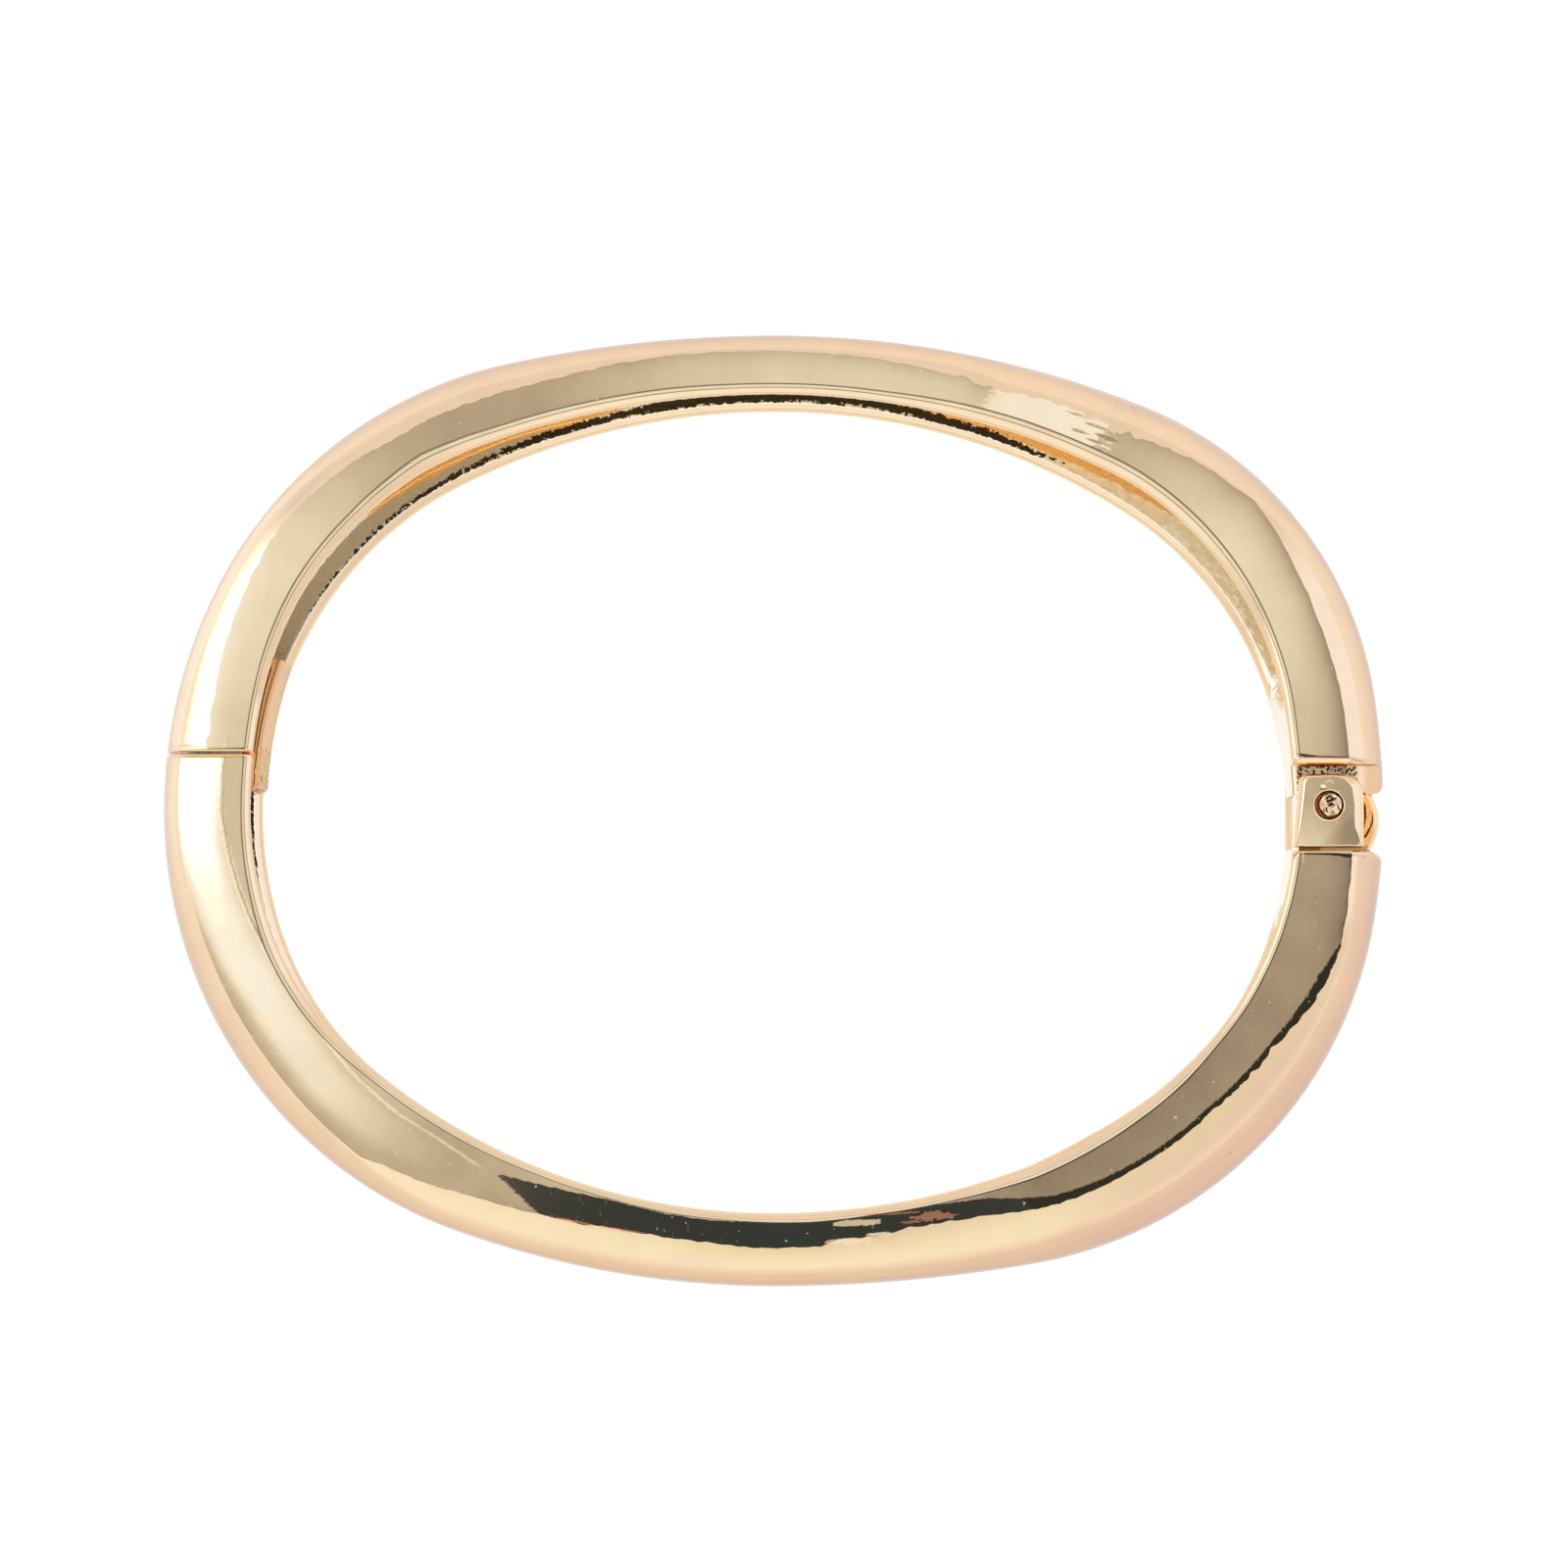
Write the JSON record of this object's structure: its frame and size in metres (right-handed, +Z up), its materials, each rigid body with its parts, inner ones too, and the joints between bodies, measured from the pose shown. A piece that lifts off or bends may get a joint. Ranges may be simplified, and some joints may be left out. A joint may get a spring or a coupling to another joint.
{
  "type": "hinged bangle",
  "caption": "Slim hinged oval bangle bracelet in polished gold tone, hollow channel section, with a riveted hinge and a hidden tongue clasp.",
  "frame": {"origin": "on the floor, under the middle of the oval's bounding box, with the bangle lying flat on one side face", "axes": "+X from the clasp towards the hinge, along the oval's long axis; +Y towards the upper half; +Z up, along the axis of the wrist opening"},
  "size_m": [0.0688, 0.0536, 0.008],
  "materials": {
    "polished_gold": "polished, pale gold plated",
    "rivet_gold": "dull, pale gold plated"
  },
  "bodies": {
    "upper": {"upper_half": "polished_gold"},
    "lower": {"lower_half": "polished_gold", "hinge_pin": "rivet_gold"}
  },
  "joints": [
    {"name": "hinge", "type": "hinge", "parent": "upper", "child": "lower", "pos_m": [0.03097, 0.00008, 0], "axis": [0, 0, 1], "range_deg": [0, 50]}
  ]
}
